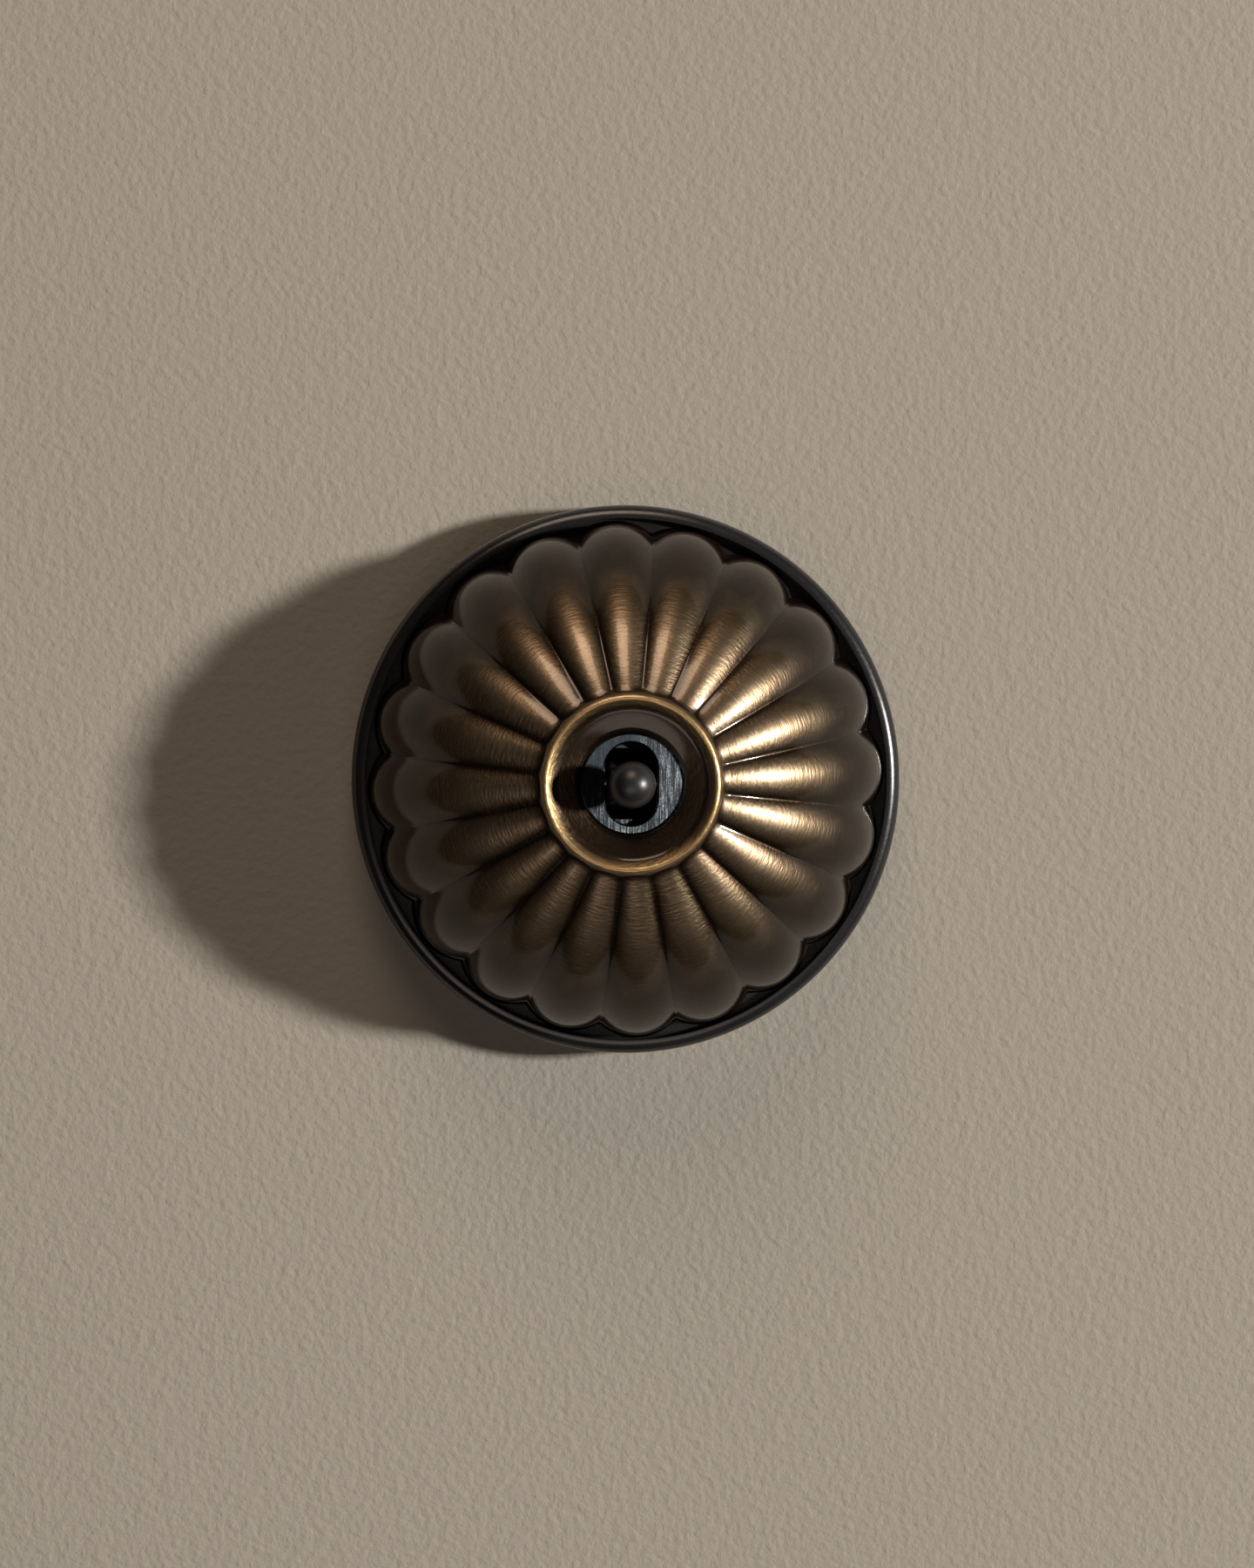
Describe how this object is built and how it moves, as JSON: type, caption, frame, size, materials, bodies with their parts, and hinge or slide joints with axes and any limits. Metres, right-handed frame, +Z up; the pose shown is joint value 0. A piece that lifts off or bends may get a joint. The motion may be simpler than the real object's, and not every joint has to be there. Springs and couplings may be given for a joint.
{
  "type": "dolly light switch",
  "caption": "Round wall light switch: fluted domed brass cover with a raised ring, black base and nose, and a ball-ended dolly that swings up and down in a slot.",
  "frame": {"origin": "centre of the back face, on the wall plane, between the two wall holes", "axes": "+X to the right, +Z up, the front faces -Y and the wall is on the +Y side"},
  "size_m": [0.082, 0.0479, 0.082],
  "materials": {
    "black_moulding": "gloss black moulded phenolic",
    "antique_brass": "darkened brass, brushed and lacquered",
    "black_nose": "black, finely brushed",
    "black_dolly": "satin black",
    "steel": "plain",
    "plain_brass": "plain, as cut",
    "screw_brass": "plain, turned",
    "silver": "silver contact metal",
    "plunger_fibre": "red-brown fibre"
  },
  "bodies": {
    "housing": {"base": "black_moulding", "fluted_cover": "antique_brass", "nose_bush": "black_nose", "pivot_pin": "steel", "lock_nut": "plain_brass", "bridge_frame": "plain_brass", "bridge_screws": "screw_brass", "fixed_contacts": "silver", "common_terminal": "plain_brass", "upper_terminal": "plain_brass", "lower_terminal": "plain_brass", "terminal_screws": "screw_brass", "terminal_fixing_screws": "screw_brass", "earth_screw": "screw_brass", "earth_washer": "screw_brass"},
    "lever": {"dolly": "black_dolly", "plunger_spring": "steel"},
    "plunger": {"plunger": "plunger_fibre"},
    "rocker": {"rocker": "plain_brass", "rocker_contacts": "silver"}
  },
  "joints": [
    {"name": "dolly_swing", "type": "hinge", "parent": "housing", "child": "lever", "pos_m": [0, -0.031, 0], "axis": [1, 0, 0], "range_deg": [-18, 18]},
    {"name": "rocker_tilt", "type": "hinge", "parent": "housing", "child": "rocker", "pos_m": [0, -0.0128, 0], "axis": [1, 0, 0], "range_deg": [-7, 7]},
    {"name": "plunger_slide", "type": "slide", "parent": "lever", "child": "plunger", "axis": [0, -1, 0], "range_m": [0, 0.0008], "stiffness_N_per_m": 400, "springref_m": -0.004, "deforming": ["plunger_spring"]}
  ],
  "couplings": [
    {"joint": "rocker_tilt", "follows": "dolly_swing", "ratio": -0.3888}
  ]
}
